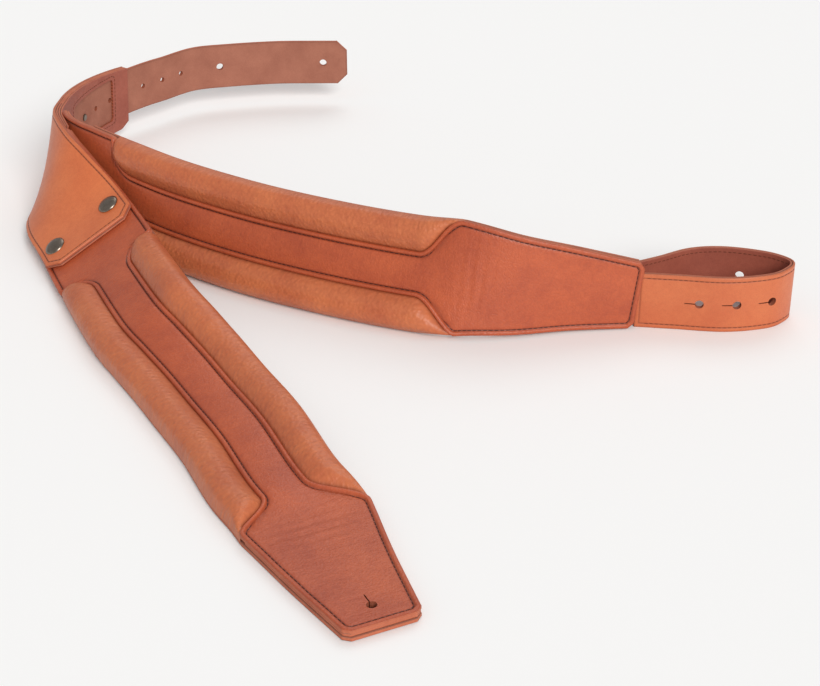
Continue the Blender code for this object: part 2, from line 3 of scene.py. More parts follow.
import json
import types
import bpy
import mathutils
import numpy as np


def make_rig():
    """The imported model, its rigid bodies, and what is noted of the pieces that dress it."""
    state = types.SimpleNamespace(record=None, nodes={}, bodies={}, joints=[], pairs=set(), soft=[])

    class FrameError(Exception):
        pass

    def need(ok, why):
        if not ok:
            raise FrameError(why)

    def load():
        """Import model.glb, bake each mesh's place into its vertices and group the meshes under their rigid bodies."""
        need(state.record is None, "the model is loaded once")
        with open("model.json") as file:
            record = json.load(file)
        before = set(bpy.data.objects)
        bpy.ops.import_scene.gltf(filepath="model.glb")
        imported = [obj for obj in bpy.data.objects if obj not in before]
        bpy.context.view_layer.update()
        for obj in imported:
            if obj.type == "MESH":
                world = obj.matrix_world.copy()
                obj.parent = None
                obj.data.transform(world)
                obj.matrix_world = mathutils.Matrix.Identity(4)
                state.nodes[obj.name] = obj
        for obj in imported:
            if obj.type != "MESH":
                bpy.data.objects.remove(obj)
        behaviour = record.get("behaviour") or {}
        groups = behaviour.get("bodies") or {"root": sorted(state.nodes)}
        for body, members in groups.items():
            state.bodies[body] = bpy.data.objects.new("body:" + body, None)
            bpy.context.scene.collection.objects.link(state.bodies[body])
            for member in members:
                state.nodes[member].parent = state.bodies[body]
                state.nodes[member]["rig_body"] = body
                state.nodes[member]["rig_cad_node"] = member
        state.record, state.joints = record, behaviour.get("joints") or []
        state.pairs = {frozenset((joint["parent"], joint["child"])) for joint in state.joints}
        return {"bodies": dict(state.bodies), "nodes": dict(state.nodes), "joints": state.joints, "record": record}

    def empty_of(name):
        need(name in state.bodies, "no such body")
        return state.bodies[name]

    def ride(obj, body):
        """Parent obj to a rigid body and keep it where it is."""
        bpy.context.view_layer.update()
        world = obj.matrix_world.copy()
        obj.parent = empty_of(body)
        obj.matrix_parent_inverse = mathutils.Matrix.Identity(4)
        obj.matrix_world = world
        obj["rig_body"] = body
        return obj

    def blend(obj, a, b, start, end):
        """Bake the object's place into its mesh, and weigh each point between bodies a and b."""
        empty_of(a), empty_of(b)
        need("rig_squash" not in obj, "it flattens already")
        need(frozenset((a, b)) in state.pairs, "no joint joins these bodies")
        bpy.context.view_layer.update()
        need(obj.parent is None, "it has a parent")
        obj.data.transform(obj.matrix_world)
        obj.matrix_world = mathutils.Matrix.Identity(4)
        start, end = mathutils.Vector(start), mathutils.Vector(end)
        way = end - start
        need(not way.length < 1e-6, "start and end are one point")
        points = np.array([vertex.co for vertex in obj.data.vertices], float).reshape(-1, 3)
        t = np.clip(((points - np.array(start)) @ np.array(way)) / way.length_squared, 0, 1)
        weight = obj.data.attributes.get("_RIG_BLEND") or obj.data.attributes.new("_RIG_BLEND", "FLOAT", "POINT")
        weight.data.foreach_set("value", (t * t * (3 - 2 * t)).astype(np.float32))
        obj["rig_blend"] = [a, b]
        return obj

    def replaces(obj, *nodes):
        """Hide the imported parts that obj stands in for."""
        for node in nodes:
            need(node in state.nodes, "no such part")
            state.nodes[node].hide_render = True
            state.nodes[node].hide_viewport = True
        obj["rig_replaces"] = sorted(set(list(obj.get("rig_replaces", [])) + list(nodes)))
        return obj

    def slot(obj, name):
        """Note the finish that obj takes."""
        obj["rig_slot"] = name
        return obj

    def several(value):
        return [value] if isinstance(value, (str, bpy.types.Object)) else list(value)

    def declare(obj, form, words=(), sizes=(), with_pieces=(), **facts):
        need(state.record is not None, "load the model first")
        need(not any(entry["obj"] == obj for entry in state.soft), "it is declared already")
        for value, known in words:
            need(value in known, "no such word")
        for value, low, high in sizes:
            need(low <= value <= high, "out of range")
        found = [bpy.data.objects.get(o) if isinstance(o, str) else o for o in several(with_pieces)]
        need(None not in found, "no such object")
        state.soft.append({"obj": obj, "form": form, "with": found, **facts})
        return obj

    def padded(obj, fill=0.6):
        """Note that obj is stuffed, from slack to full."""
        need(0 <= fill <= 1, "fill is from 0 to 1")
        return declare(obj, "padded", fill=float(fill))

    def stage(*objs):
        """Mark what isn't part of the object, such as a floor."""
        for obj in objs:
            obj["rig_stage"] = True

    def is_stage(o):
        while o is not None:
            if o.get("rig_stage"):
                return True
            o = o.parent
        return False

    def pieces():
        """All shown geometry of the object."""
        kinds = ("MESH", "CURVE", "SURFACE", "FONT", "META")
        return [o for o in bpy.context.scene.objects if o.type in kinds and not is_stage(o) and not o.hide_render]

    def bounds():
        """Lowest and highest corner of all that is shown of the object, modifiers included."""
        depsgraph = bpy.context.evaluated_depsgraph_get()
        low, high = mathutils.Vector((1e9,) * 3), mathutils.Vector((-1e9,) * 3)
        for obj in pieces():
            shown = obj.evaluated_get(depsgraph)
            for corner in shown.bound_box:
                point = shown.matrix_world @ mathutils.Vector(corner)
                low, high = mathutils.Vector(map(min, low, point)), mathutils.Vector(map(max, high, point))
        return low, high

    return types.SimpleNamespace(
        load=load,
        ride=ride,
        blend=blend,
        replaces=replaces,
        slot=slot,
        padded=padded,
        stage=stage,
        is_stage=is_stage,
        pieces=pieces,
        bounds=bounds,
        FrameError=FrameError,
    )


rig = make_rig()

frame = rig.load()

import json
import math

import bpy
import numpy as np
from mathutils import Matrix, Vector

CAD_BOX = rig.bounds()
MM = 0.001

# The strap's frame, in millimetres, as the CAD has it. Lengths run along a route, halves across it.
CENTRING = (-2.1, 0.8)
PAD_HALF = 45.0
CHANNEL_HALF = 17.5
YOKE_HALF = 43.0
KEEPER_BELOW = 35.0
KEEPER_ABOVE = 25.6
TONGUE_HALF = 23.0
ARC_CENTRE = (-71.0, 229.5)
ARC_RADIUS = 225.0
ARC_LEAN = 4.0
ARC_HEIGHT = 46.0
LINING_END = 204.0
FLAP_CREASE = 273.5
SNAP_PLACE = 313.5
SNAP_OFFSET = 28.0
FLAP_END = 341.0
FLAP_CORNER = 11.0
NECK_A_START = 210.0
NECK_B_START = 24.0
FLEX_A = 353.0
FLEX_B = 82.0
WINDOW = (24.0, 111.0)
WINDOW_HALF = 21.5
POCKET_END = 144.0
TAB_PLACES = (152.0, 167.0)
RIDGES_A = (380.0, 761.0)
RIDGES_B = (120.0, 466.0)
TIP_HALF_A = 25.0
TIP_HALF_B = 27.0
TIP_HOLE_INSET = 18.0
TAIL_CORNER = 10.0
LOOP_CORNER = 6.0
LOCK_HOLES = [29.5 + 25.0 * k for k in range(7)]
LOCK_HOLE_RADIUS = 2.5
TAIL_HOLES = (225.0, 332.0)
LOOP_HOLES = (43.0, 71.5, 100.0)
LOOP_BACK_HOLE = 174.5
BUTTON_HOLE_RADIUS = 3.6
KEYHOLE_RADIUS = 3.4
KEYHOLE_SLIT = 8.0

# Values of n at the faces of each layer of leather, front first
YOKE_OUTER = (4.6, 2.1)
FLAP_BACKING = (1.9, 0.1)
POCKET_SIDE = (1.9, -1.9)
POCKET_BLOCK = (-0.1, -1.9)
YOKE_INNER = (-2.1, -4.1)
TONGUE = (1.8, -1.8)
PAD_FACE = (-0.2, -2.2)
PAD_CORE = (-2.5, -4.9)
PAD_BACK = (-5.2, -7.8)
LOOP_BAND = (2.2, 0.2)
LOOP_INNER = (-0.1, -1.8)

SEAM_INSET = 3.6
PAD_SEAM_INSET = 4.2
SCALLOP_START = 27.0
SCALLOP_END = 34.0
BEND_REACH = 13.0
SHARP_EDGE = math.radians(48)
SIDES = (("lower", -1), ("upper", 1))


def rest_height(lean, half=PAD_HALF):
    angle = math.radians(lean)
    return 0.3 + half * math.cos(angle) + 7.8 * math.sin(angle)


def arc_station(angle, lean=ARC_LEAN):
    turn = math.radians(angle)
    x = ARC_CENTRE[0] - ARC_RADIUS * math.cos(turn)
    y = ARC_CENTRE[1] + ARC_RADIUS * math.sin(turn)
    return (x, y, ARC_HEIGHT, lean)


def leaning(x, y, lean, half=PAD_HALF):
    return (x, y, rest_height(lean, half), lean)


class Route:
    """Centre line of a strap: s runs along it, t across it (positive upwards) and n out of its face."""

    SAMPLES = 24

    def __init__(self, stations):
        dense = self._smooth(np.asarray(stations, float))
        self.line = dense[:, :3] + (*CENTRING, 0.0)
        along = np.gradient(self.line, axis=0)
        along /= np.linalg.norm(along, axis=1)[:, None]
        lean = np.radians(dense[:, 3])[:, None]
        level = np.cross(along, (0.0, 0.0, 1.0))
        level /= np.linalg.norm(level, axis=1)[:, None]
        across = np.cos(lean) * np.array((0.0, 0.0, 1.0)) - np.sin(lean) * level
        across -= np.sum(across * along, axis=1)[:, None] * along
        across /= np.linalg.norm(across, axis=1)[:, None]
        self.along = along
        self.across = across
        self.normal = np.cross(along, across)
        steps = np.linalg.norm(np.diff(self.line, axis=0), axis=1)
        self.distance = np.concatenate(([0.0], np.cumsum(steps)))
        self.length = float(self.distance[-1])

    def _smooth(self, stations):
        first = 2 * stations[0] - stations[1]
        last = 2 * stations[-1] - stations[-2]
        knots = np.vstack((first, stations, last))
        rows = []
        for i in range(1, len(knots) - 2):
            a, b, c, d = knots[i - 1:i + 3]
            for u in np.arange(self.SAMPLES) / self.SAMPLES:
                curve = 2 * b + (c - a) * u + (2 * a - 5 * b + 4 * c - d) * u ** 2
                rows.append(0.5 * (curve + (3 * b - a - 3 * c + d) * u ** 3))
        rows.append(stations[-1])
        return np.array(rows)

    def _read(self, values, s):
        return np.stack([np.interp(s, self.distance, values[:, k]) for k in range(3)], axis=-1)

    def at(self, s, t, n):
        """World positions in metres of the places (s, t, n), given as arrays."""
        s, t, n = np.broadcast_arrays(np.asarray(s, float), np.asarray(t, float), np.asarray(n, float))
        inside = np.clip(s, 0.0, self.length)
        along = self._read(self.along, inside)
        point = self._read(self.line, inside) + (s - inside)[..., None] * along
        point += t[..., None] * self._read(self.across, inside)
        point += n[..., None] * self._read(self.normal, inside)
        return point * MM

    def place(self, s, t=0.0, n=0.0):
        return Vector(self.at(s, t, n))

    def frame(self, s, t, n):
        """Matrix at a place: X along the strap, Y across it and Z out of its face."""
        along = Vector(self._read(self.along, s)).normalized()
        normal = Vector(self._read(self.normal, s)).normalized()
        across = normal.cross(along).normalized()
        turn = Matrix((along, across, normal)).transposed().to_4x4()
        return Matrix.Translation(self.place(s, t, n)) @ turn


LEFT = Route([arc_station(angle) for angle in (33, 30, 26, 22, 18, 14, 10, 6, 3, 0)] + [
    leaning(-299.5, 184.5, 12),
    leaning(-292.5, 142.5, 26),
    leaning(-277.5, 105.5, 43),
    leaning(-253, 62, 57),
    leaning(-226.5, 3, 61),
    leaning(-210, -36.5, 61),
    leaning(-184.5, -92, 62),
    leaning(-164, -124, 67),
    leaning(-142, -158, 73),
    leaning(-121, -194.5, 77),
    leaning(-95.5, -241, 79),
    leaning(-71, -293, 84),
    leaning(-50.5, -328, 88),
    leaning(-23, -386.5, 90),
    leaning(5.5, -444.5, 90),
])
TAIL = Route([arc_station(angle, -ARC_LEAN) for angle in range(6, 50, 4)] + [
    (-201, 420, ARC_HEIGHT, -ARC_LEAN),
    (-168, 434.5, 45, -ARC_LEAN),
    (-120, 445.5, 44.5, -ARC_LEAN),
    (-80, 448.5, 44, -ARC_LEAN),
    (-45, 448.5, 44, -ARC_LEAN),
])


def tab_stations():
    """Pad B's neck starts flat against the inside of the yoke."""
    rows = []
    for s in TAB_PLACES:
        point = LEFT.place(s, 0.0, -5.3) / MM
        lean = math.degrees(math.acos(LEFT.frame(s, 0.0, 0.0).col[1].z))
        rows.append((point.x - CENTRING[0], point.y - CENTRING[1], point.z, lean))
    return rows


RIGHT = Route(tab_stations() + [
    leaning(-293.5, 181.5, 11.5),
    leaning(-288, 166, 13),
    leaning(-277.5, 151, 12),
    leaning(-260.5, 134, 9),
    leaning(-223, 96.5, 11),
    leaning(-176, 53.5, 18),
    leaning(-110, 8.5, 23),
    leaning(-42, -28.5, 24),
    leaning(20, -56.5, 22),
    leaning(60, -71.5, 15, 46),
    leaning(100, -74.5, 8, 41),
    leaning(145, -67.5, 4, 34.5),
    leaning(197, -62, 3, 27),
])
LOOP = Route([(x, y, TONGUE_HALF, 0) for x, y in (
    (200.7, -58.4), (225, -61.5), (264, -66.5), (297, -60.5), (312, -49.5), (318, -38.5), (313, -28.5),
    (298, -18.5), (269, -10.5), (242, -13.5), (214, -29.5), (186, -42.5), (156, -46.5))])


# ---------------------------------------------------------------- shaping helpers

def ramp(s, start, end):
    """Smooth rise from 0 at start to 1 at end."""
    x = np.clip((s - start) / (end - start), 0.0, 1.0)
    return x * x * (3 - 2 * x)


def line(s, start, end, first, last):
    """Straight change from first at start to last at end, level beyond them."""
    x = np.clip((s - start) / (end - start), 0.0, 1.0)
    return first + (last - first) * x


def clipped(half, s, end, corner):
    """Half width with a straight clipped corner of the given size at the end."""
    return np.minimum(half, half - corner + np.abs(end - s))


def edges_at(half, s):
    """Values of t at two edges. half gives one half width, or how far a piece reaches below and above."""
    reach = half(s)
    below, above = reach if isinstance(reach, tuple) else (reach, reach)
    return -below, above


def closed_outline(low, high, half, step=0.5, end_points=88):
    """Outline of a piece as (s, t) points, counter-clockwise from its low end."""
    s = np.arange(low, high + step / 2, step)
    below, above = edges_at(half, s)
    ends = np.linspace(0, 1, end_points + 2)[1:-1]
    lower = np.stack((s, below), 1)
    upper = np.stack((s[::-1], above[::-1]), 1)
    last = np.stack((np.full_like(ends, s[-1]), below[-1] + ends * (above[-1] - below[-1])), 1)
    first = np.stack((np.full_like(ends, s[0]), above[0] - ends * (above[0] - below[0])), 1)
    return np.vstack((lower, last, upper, first))


def edge_distance(s, t, outline, batch=2000):
    """Distance of every (s, t) from an outline."""
    flat = np.stack((s.ravel(), t.ravel()), 1)
    a = outline
    d = np.roll(outline, -1, axis=0) - a
    size = np.maximum(np.sum(d * d, axis=1), 1e-9)
    best = np.empty(len(flat))
    for k in range(0, len(flat), batch):
        p = flat[k:k + batch, None, :] - a[None]
        u = np.clip(np.sum(p * d[None], axis=2) / size, 0.0, 1.0)
        gap = p - u[..., None] * d[None]
        best[k:k + batch] = np.sqrt(np.min(np.sum(gap * gap, axis=2), axis=1))
    return best.reshape(s.shape)


def columns_for(offsets, middle):
    """Function that gives the t values between two edges, dense near both of them."""
    offsets = np.asarray(offsets)

    def columns(low, high):
        reach = offsets * min(1.0, 0.45 * (high - low) / offsets[-1])
        inner = np.linspace(low + reach[-1], high - reach[-1], middle)
        return np.concatenate((low + reach[:-1], inner, (high - reach[:-1])[::-1]))
    return columns


def linked(name, data):
    """New object in the scene with the given data."""
    made = bpy.data.objects.new(name, data)
    bpy.context.collection.objects.link(made)
    return made


def new_object(name, vertices, faces, indices, uvs, tones, materials):
    """Mesh object with its (s, t) places in a UV map "st" and the painted shade of its grooves and edges in a UV map
    "tone".
    """
    mesh = bpy.data.meshes.new(name)
    mesh.from_pydata([tuple(v) for v in vertices], [], faces)
    loops = np.empty(len(mesh.loops), np.int32)
    mesh.loops.foreach_get("vertex_index", loops)
    layer = mesh.uv_layers.new(name="st")
    layer.data.foreach_set("uv", uvs[loops].astype(np.float32).ravel())
    layer = mesh.uv_layers.new(name="tone")
    layer.data.foreach_set("uv", tones[loops].astype(np.float32).ravel())
    mesh.uv_layers["st"].active_render = True
    for item in materials:
        mesh.materials.append(item)
    mesh.polygons.foreach_set("material_index", np.asarray(indices, np.int32))
    mesh.shade_smooth()
    mesh.set_sharp_from_angle(angle=SHARP_EDGE)
    return linked(name, mesh)


def slab(name, route, places, spans, front, back, materials, tone=None):
    """Closed sheet of leather. spans gives the t values at each place; front and back give n at (s, t)."""
    t = np.stack(spans)
    s = np.repeat(np.asarray(places, float)[:, None], t.shape[1], axis=1)
    rows, cols = t.shape
    count = rows * cols
    points = np.vstack([route.at(s, t, side(s, t)).reshape(-1, 3) for side in (front, back)])
    index = np.arange(count).reshape(rows, cols)
    cells = np.stack((index[:-1, :-1], index[1:, :-1], index[1:, 1:], index[:-1, 1:]), -1).reshape(-1, 4)
    rim = np.concatenate((index[:, 0], index[-1, 1:], index[-2::-1, -1], index[0, -2:0:-1]))
    after = np.roll(rim, -1)
    walls = np.stack((rim, rim + count, after + count, after), -1)
    faces = np.vstack((cells, walls, cells[:, ::-1] + count))
    indices = np.concatenate((np.zeros(len(cells)), np.ones(len(walls)), np.full(len(cells), 2)))
    uvs = np.tile(np.stack((s, t), -1).reshape(-1, 2) * MM, (2, 1))
    # Front face only: how far painted shade darkens each point, in grooves and along edges
    dark = np.zeros((rows, cols)) if tone is None else tone(s, t)
    tones = np.zeros((2 * count, 2))
    tones[:count, 0] = dark.ravel()
    return new_object(name, points, faces.tolist(), indices, uvs, tones, materials)


def rounded(e, radius):
    """How far a face drops towards an edge at distance e."""
    inside = np.clip(radius - e, 0.0, radius)
    return radius - np.sqrt(np.maximum(radius ** 2 - inside ** 2, 0.0))


def lip(e, height, width, seam, depth):
    """Turned edge: a roll along the edge, then the groove that the thread lies in."""
    x = np.clip(e / width, 0.0, 1.0)
    roll = height * np.sqrt(np.clip(1 - (2 * x - 1) ** 2, 0.0, 1.0)) ** 0.8
    return roll - depth * np.exp(-((e - seam) / 0.75) ** 2)


def drift(s, t, size, seed):
    """Smooth uneven surface between -1 and 1, with features of about size millimetres."""
    rng = np.random.default_rng(seed)
    total = np.zeros_like(s)
    for _ in range(6):
        angle = rng.uniform(0, 2 * math.pi)
        wave = 2 * math.pi / (size * rng.uniform(0.7, 1.6))
        total += np.sin((s * math.cos(angle) + t * math.sin(angle)) * wave + rng.uniform(0, 6.3))
    return total / 6


# ---------------------------------------------------------------- materials

class Shader:
    """Small helper to wire a node material."""

    def __init__(self, name):
        self.material = bpy.data.materials.new(name)
        self.material.use_nodes = True
        self.tree = self.material.node_tree
        self.principled = self.tree.nodes["Principled BSDF"]

    def node(self, kind, inputs=(), **settings):
        made = self.tree.nodes.new(kind)
        for key, value in settings.items():
            setattr(made, key, value)
        for key, value in dict(inputs).items():
            self.feed(made.inputs[key], value)
        return made

    def feed(self, socket, value):
        if isinstance(value, bpy.types.NodeSocket):
            self.tree.links.new(value, socket)
        else:
            socket.default_value = value

    def set(self, **inputs):
        for key, value in inputs.items():
            self.feed(self.principled.inputs[key.replace("_", " ")], value)

    def mix(self, factor, first, second, blend="MIX"):
        made = self.tree.nodes.new("ShaderNodeMix")
        made.data_type = "RGBA"
        made.blend_type = blend
        self.feed(made.inputs[0], factor)
        self.feed(made.inputs[6], first)
        self.feed(made.inputs[7], second)
        return made.outputs[2]

    def math(self, operation, first, second=0.0, clamp=False):
        made = self.node("ShaderNodeMath", operation=operation, use_clamp=clamp)
        self.feed(made.inputs[0], first)
        self.feed(made.inputs[1], second)
        return made.outputs[0]

    def noise(self, vector, scale, detail=3.0, rough=0.55):
        made = self.node("ShaderNodeTexNoise", {"Vector": vector, "Scale": scale, "Detail": detail,
                                                "Roughness": rough})
        return made.outputs["Fac"]

    def bump(self, height, strength, distance, normal=None):
        made = self.node("ShaderNodeBump", {"Height": height, "Strength": strength, "Distance": distance})
        if normal is not None:
            self.feed(made.inputs["Normal"], normal)
        return made.outputs["Normal"]

    def places(self, stretch=(1.0, 1.0, 1.0)):
        uv = self.node("ShaderNodeUVMap", uv_map="st")
        mapping = self.node("ShaderNodeMapping", {"Vector": uv.outputs["UV"], "Scale": stretch})
        return mapping.outputs["Vector"]

    # Painted shade along stitch grooves and edges, read from the tone map
    def seam(self):
        uv = self.node("ShaderNodeUVMap", uv_map="tone")
        return self.node("ShaderNodeSeparateXYZ", {"Vector": uv.outputs["UV"]}).outputs["X"]


def srgb(red, green, blue):
    """Linear colour of an 8-bit display colour."""
    return tuple((c / 255 / 12.92 if c <= 10 else ((c / 255 + 0.055) / 1.055) ** 2.4)
                 for c in (red, green, blue)) + (1.0,)


def leather(name, light, dark, groove, rough=0.5, pebble=900.0, depth=0.35, creases=0.25):
    """Finished leather: two-tone mottling, painted shade in the stitch grooves and along the edges, pebbled grain and
    fine creases across the strap.
    """
    shader = Shader(name)
    flat = shader.places()
    mottle = shader.noise(flat, 26.0, 4.0, 0.6)
    fine = shader.noise(flat, 240.0, 3.0, 0.6)
    blend = shader.math("ADD", shader.math("MULTIPLY", mottle, 0.8), shader.math("MULTIPLY", fine, 0.35))
    blend = shader.node("ShaderNodeMapRange", {"Value": blend, "From Min": 0.36, "From Max": 0.82}).outputs[0]
    colour = shader.mix(blend, light, dark)
    # Painted shade: the tone map darkens the colour towards the groove brown in grooves and along edges
    colour = shader.mix(shader.math("MULTIPLY", shader.seam(), 1.0, clamp=True), colour, groove)
    warp = shader.node("ShaderNodeTexNoise", {"Vector": flat, "Scale": 160.0, "Detail": 2.0})
    bent = shader.node("ShaderNodeVectorMath", operation="MULTIPLY_ADD")
    shader.feed(bent.inputs[0], warp.outputs["Color"])
    shader.feed(bent.inputs[1], (0.0016, 0.0016, 0.0))
    shader.feed(bent.inputs[2], flat)
    cells = shader.node("ShaderNodeTexVoronoi", {"Vector": bent.outputs[0], "Scale": pebble,
                                                 "Randomness": 0.95}, feature="SMOOTH_F1")
    crease = shader.noise(shader.places((1.0, 0.22, 1.0)), 330.0, 5.0, 0.65)
    normal = shader.bump(crease, creases, 0.0006)
    normal = shader.bump(shader.math("SUBTRACT", 1.0, cells.outputs["Distance"]), depth, 0.0005, normal)
    pits = shader.math("MULTIPLY", cells.outputs["Distance"], 0.22)
    colour = shader.mix(pits, colour, groove)
    shader.set(Base_Color=colour, Normal=normal, Specular_IOR_Level=0.5,
               Roughness=shader.math("ADD", rough - 0.06, shader.math("MULTIPLY", fine, 0.14)))
    return shader.material


def flesh(name, light, dark, rough=0.85, depth=0.5):
    """Raw back of the leather, or its cut edge: matt and fibrous."""
    shader = Shader(name)
    flat = shader.places()
    where = shader.node("ShaderNodeTexCoord").outputs["Object"]
    fibres = shader.noise(where, 900.0, 6.0, 0.75)
    clouds = shader.noise(flat, 40.0, 3.0, 0.6)
    blend = shader.math("ADD", shader.math("MULTIPLY", fibres, 0.55), shader.math("MULTIPLY", clouds, 0.6))
    blend = shader.node("ShaderNodeMapRange", {"Value": blend, "From Min": 0.38, "From Max": 0.8}).outputs[0]
    colour = shader.mix(blend, light, dark)
    # Painted shade from the tone map, darkening towards a deeper brown
    colour = shader.mix(shader.seam(), colour, tuple(0.35 * c for c in dark[:3]) + (1.0,))
    shader.set(Base_Color=colour, Roughness=rough, Specular_IOR_Level=0.2,
               Normal=shader.bump(fibres, depth, 0.0004))
    return shader.material


def thread(name, light, dark):
    """Waxed thread with a fine twist."""
    shader = Shader(name)
    where = shader.node("ShaderNodeTexCoord").outputs["Object"]
    twist = shader.noise(where, 2200.0, 3.0, 0.6)
    shader.set(Base_Color=shader.mix(twist, light, dark), Roughness=0.6, Specular_IOR_Level=0.3,
               Normal=shader.bump(twist, 0.5, 0.0003))
    return shader.material


def metal(name, light, dark, rough=0.3):
    """Antique metal with darker patches and light scratches."""
    shader = Shader(name)
    where = shader.node("ShaderNodeTexCoord").outputs["Object"]
    patches = shader.noise(where, 260.0, 5.0, 0.65)
    scratches = shader.noise(where, 1400.0, 4.0, 0.7)
    shader.set(Base_Color=shader.mix(patches, light, dark), Metallic=1.0,
               Roughness=shader.math("ADD", rough, shader.math("MULTIPLY", scratches, 0.18)),
               Normal=shader.bump(scratches, 0.12, 0.0002))
    return shader.material


# Dark brown of the painted shade in grooves and along edges; the same brown darkens the pits of the grain
SHADE_AND_PIT_BROWN = srgb(92, 38, 26)
FACE = leather("face_leather", srgb(196, 94, 54), srgb(164, 70, 42), SHADE_AND_PIT_BROWN, 0.43, 800.0, 0.50, 0.70)
RIDGE = leather("ridge_leather", srgb(208, 118, 72), srgb(180, 90, 56), SHADE_AND_PIT_BROWN, 0.45, 440.0, 1.00, 0.50)
YOKE = leather("yoke_leather", srgb(224, 124, 72), srgb(204, 102, 58), SHADE_AND_PIT_BROWN, 0.44, 1500.0, 0.12, 0.14)
BAND = leather("band_leather", srgb(210, 116, 70), srgb(196, 98, 58), SHADE_AND_PIT_BROWN, 0.42, 1600.0, 0.12, 0.12)
LINING = leather("lining_leather", srgb(168, 90, 70), srgb(142, 70, 54), SHADE_AND_PIT_BROWN, 0.60, 1200.0, 0.20, 0.25)
EDGE = flesh("cut_edge", srgb(198, 116, 86), srgb(164, 84, 60), 0.62, 0.3)
SUEDE = flesh("flesh_side", srgb(170, 112, 92), srgb(142, 88, 72), 0.88, 0.6)
BACK = flesh("back_leather", srgb(156, 88, 64), srgb(120, 62, 46), 0.80, 0.7)
DARK_THREAD = thread("dark_thread", srgb(84, 40, 32), srgb(48, 22, 20))
TAN_THREAD = thread("tan_thread", srgb(124, 62, 40), srgb(84, 40, 26))
METAL = metal("antique_metal", (0.31, 0.26, 0.215, 1.0), (0.11, 0.088, 0.07, 1.0), 0.24)


# ---------------------------------------------------------------- stitches

# Place along the stitch and size of each ring of its rod, and how flat the rod lies
STITCH_RINGS = ((-0.5, 0.35), (-0.36, 0.85), (0.0, 1.0), (0.36, 0.85), (0.5, 0.35))
STITCH_SIDES = 6
STITCH_FLATNESS = 0.8


def stitches(name, route, paths, height, pitch, length, width, thread_material):
    """Row of stitches, each a small rounded rod, along paths of (s, t) points. height gives n at (s, t)."""
    vertices, faces = [], []
    for path in paths:
        path = np.asarray(path, float)
        steps = np.linalg.norm(np.diff(path, axis=0), axis=1)
        distance = np.concatenate(([0.0], np.cumsum(steps)))
        count = max(1, int(distance[-1] // pitch))
        middles = (np.arange(count) + 0.5) * distance[-1] / count
        for middle in middles:
            ends = []
            for side in (-0.5, 0.5):
                d = middle + side * length
                s, t = (float(np.interp(d, distance, path[:, k])) for k in (0, 1))
                ends.append((s, t))
            (s0, t0), (s1, t1) = ends
            n0, n1 = (float(height(np.array(s), np.array(t))) for s, t in ends)
            start, end = route.place(s0, t0, n0), route.place(s1, t1, n1)
            along = (end - start).normalized()
            up = (route.place(s0, t0, n0 + 1.0) - start).normalized()
            side_way = up.cross(along).normalized()
            base = len(vertices)
            for u, size in STITCH_RINGS:
                centre = start + (end - start) * (u + 0.5)
                reach = size * width / 2 * MM
                for k in range(STITCH_SIDES):
                    angle = 2 * math.pi * k / STITCH_SIDES
                    sideways = side_way * (reach * math.cos(angle))
                    vertices.append(centre + sideways + up * (STITCH_FLATNESS * reach * math.sin(angle)))
            for ring in range(len(STITCH_RINGS) - 1):
                for k in range(STITCH_SIDES):
                    j = (k + 1) % STITCH_SIDES
                    a = base + ring * STITCH_SIDES
                    faces.append((a + k, a + k + STITCH_SIDES, a + j + STITCH_SIDES, a + j))
            faces.append(tuple(base + k for k in range(STITCH_SIDES)))
            top = base + (len(STITCH_RINGS) - 1) * STITCH_SIDES
            faces.append(tuple(top + k for k in reversed(range(STITCH_SIDES))))
    mesh = bpy.data.meshes.new(name)
    mesh.from_pydata([tuple(v) for v in vertices], [], faces)
    mesh.materials.append(thread_material)
    mesh.shade_smooth()
    return linked(name, mesh)


def inset_path(outline, inset, keep):
    """Points of an outline moved inwards by inset, where keep(s, t) allows."""
    ahead = np.roll(outline, -3, axis=0) - np.roll(outline, 3, axis=0)
    ahead /= np.maximum(np.linalg.norm(ahead, axis=1)[:, None], 1e-9)
    moved = outline + inset * np.stack((-ahead[:, 1], ahead[:, 0]), 1)
    clear = edge_distance(moved[:, 0], moved[:, 1], outline) > inset - 0.15
    good = clear & keep(moved[:, 0], moved[:, 1])
    paths, run = [], []
    order = np.arange(len(moved))
    gaps = np.flatnonzero(~good)
    if len(gaps):
        order = np.roll(order, -int(gaps[0]))
    for k in order:
        if good[k]:
            run.append(moved[k])
        elif keep(moved[k:k + 1, 0], moved[k:k + 1, 1])[0]:
            continue
        elif run:
            paths.append(run)
            run = []
    if run:
        paths.append(run)
    return [path for path in paths if len(path) > 8]


# ---------------------------------------------------------------- cutters

def prism(route, outline, low, high):
    """Points and faces of a closed block over an (s, t) outline, between two values of n."""
    outline = np.asarray(outline, float)
    count = len(outline)
    s, t = outline.T
    points = np.vstack((route.at(s, t, low), route.at(s, t, high)))
    faces = [tuple(range(count - 1, -1, -1)), tuple(range(count, 2 * count))]
    for k in range(count):
        j = (k + 1) % count
        faces.append((k, j, j + count, k + count))
    return points, faces


